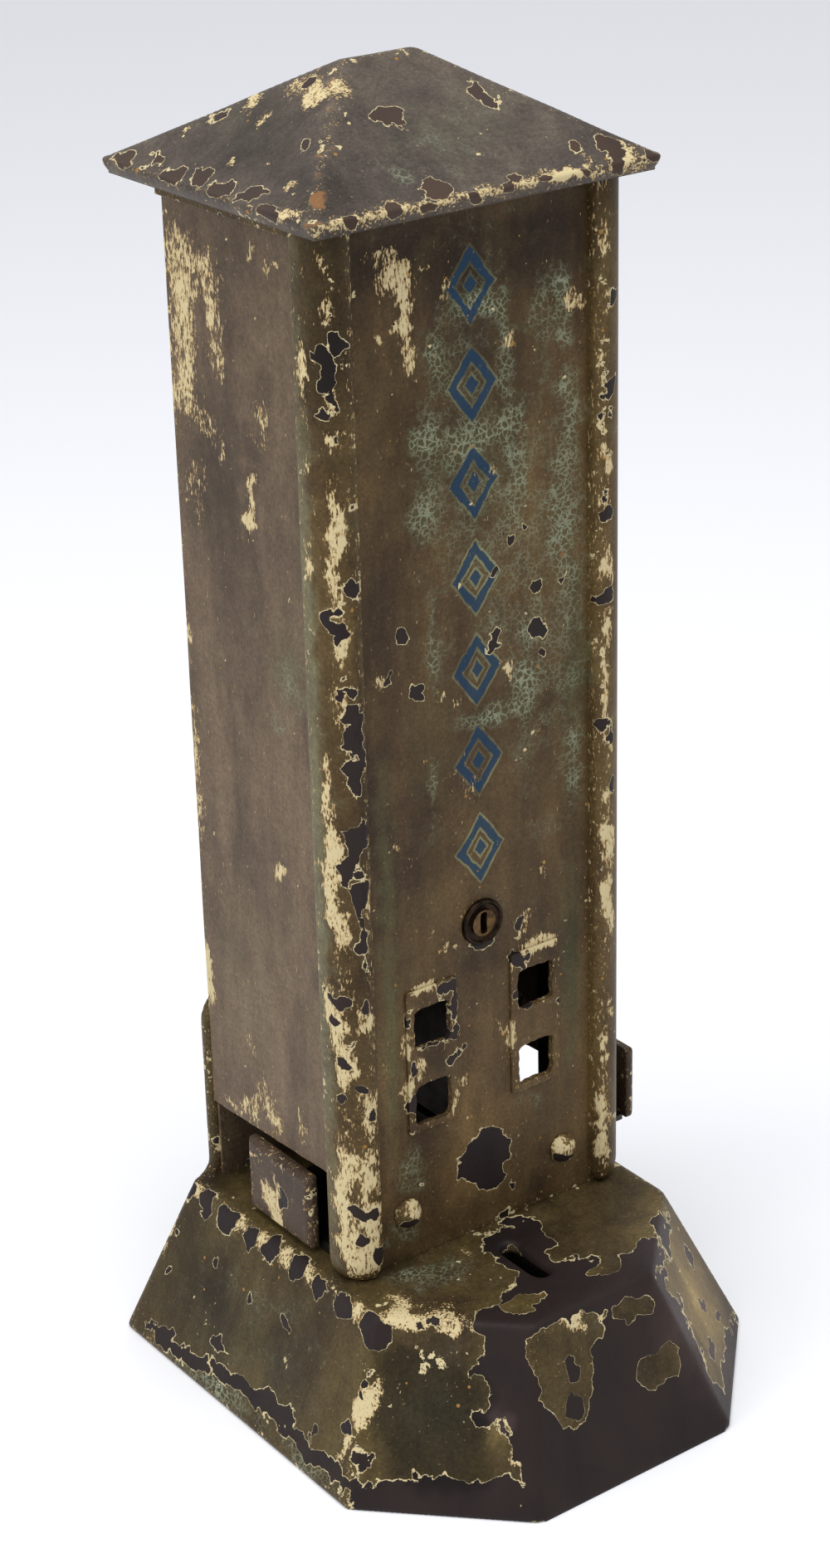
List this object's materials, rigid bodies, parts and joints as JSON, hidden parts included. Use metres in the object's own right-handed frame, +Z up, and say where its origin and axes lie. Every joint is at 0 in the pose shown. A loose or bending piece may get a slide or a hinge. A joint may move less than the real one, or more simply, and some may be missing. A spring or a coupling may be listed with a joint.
{
  "type": "match dispenser",
  "caption": "Counter-top match box dispenser with a flared cast base, sheet tower, hipped roof, coin slot, windows and a two-way push shuttle.",
  "frame": {"origin": "on the table, under the middle of the base's outline", "axes": "+Z up, front towards -Y, +X to the right of a person facing the front"},
  "size_m": [0.16, 0.168, 0.4171],
  "materials": {
    "panel_paint": "worn satin brown paint",
    "trim_paint": "worn olive paint with cream undercoat",
    "base_paint": "flaked olive paint over dark iron",
    "roof_paint": "dark worn paint",
    "lock_brass": "tarnished",
    "lock_face": "chipped dark paint",
    "steel": "aged bare steel"
  },
  "bodies": {
    "body": {"base_casting": "base_paint", "bottom_plate": "steel", "bottom_plate_screws": "steel", "coin_chute": "steel", "chute_screws": "steel", "pawl_bracket": "steel", "bracket_screws": "steel", "pawl_pin": "steel", "front_panel": "panel_paint", "left_side_panel": "panel_paint", "right_side_panel": "panel_paint", "back_panel": "panel_paint", "left_corner_moulding": "trim_paint", "right_corner_moulding": "trim_paint", "left_window_plate": "trim_paint", "right_window_plate": "trim_paint", "front_bolts": "trim_paint", "front_bolt_nuts": "steel", "front_foot_bracket": "steel", "foot_bracket_screws": "steel", "column_divider": "steel", "left_box_guide": "steel", "right_box_guide": "steel", "side_top_bands": "trim_paint", "front_slide_rail": "steel", "rear_slide_rail": "steel", "rail_screws": "steel", "lock_barrel": "lock_face", "lock_nut": "steel", "rear_lug_screws": "steel", "rear_lug_nuts": "steel"},
    "shuttle": {"shuttle_bar": "steel", "box_pusher": "steel", "left_push_plate": "panel_paint", "right_push_plate": "panel_paint", "push_plate_screws": "steel", "pusher_rivets": "steel"},
    "lock_core": {"lock_plug": "lock_brass", "lock_cam": "steel", "cam_screw": "steel"},
    "roof": {"roof_shell": "roof_paint", "roof_soffit": "roof_paint", "roof_collar": "steel", "hold_down_strap": "steel", "strap_rivets": "steel"},
    "coin_lever": {"coin_pawl": "steel", "pawl_counterweight": "steel"}
  },
  "joints": [
    {"name": "shuttle_slide", "type": "slide", "parent": "body", "child": "shuttle", "axis": [-1, 0, 0], "range_m": [0, 0.026]},
    {"name": "lock_turn", "type": "hinge", "parent": "body", "child": "lock_core", "pos_m": [0, 0, 0.1617], "axis": [0, 1, 0], "range_deg": [0, 90]},
    {"name": "roof_lift", "type": "slide", "parent": "body", "child": "roof", "axis": [0, 0, 1], "range_m": [0, 0.24]},
    {"name": "lever_swing", "type": "hinge", "parent": "body", "child": "coin_lever", "pos_m": [-0.0023, 0.0499, 0.038], "axis": [-1, 0, 0], "range_deg": [0, 6]}
  ]
}
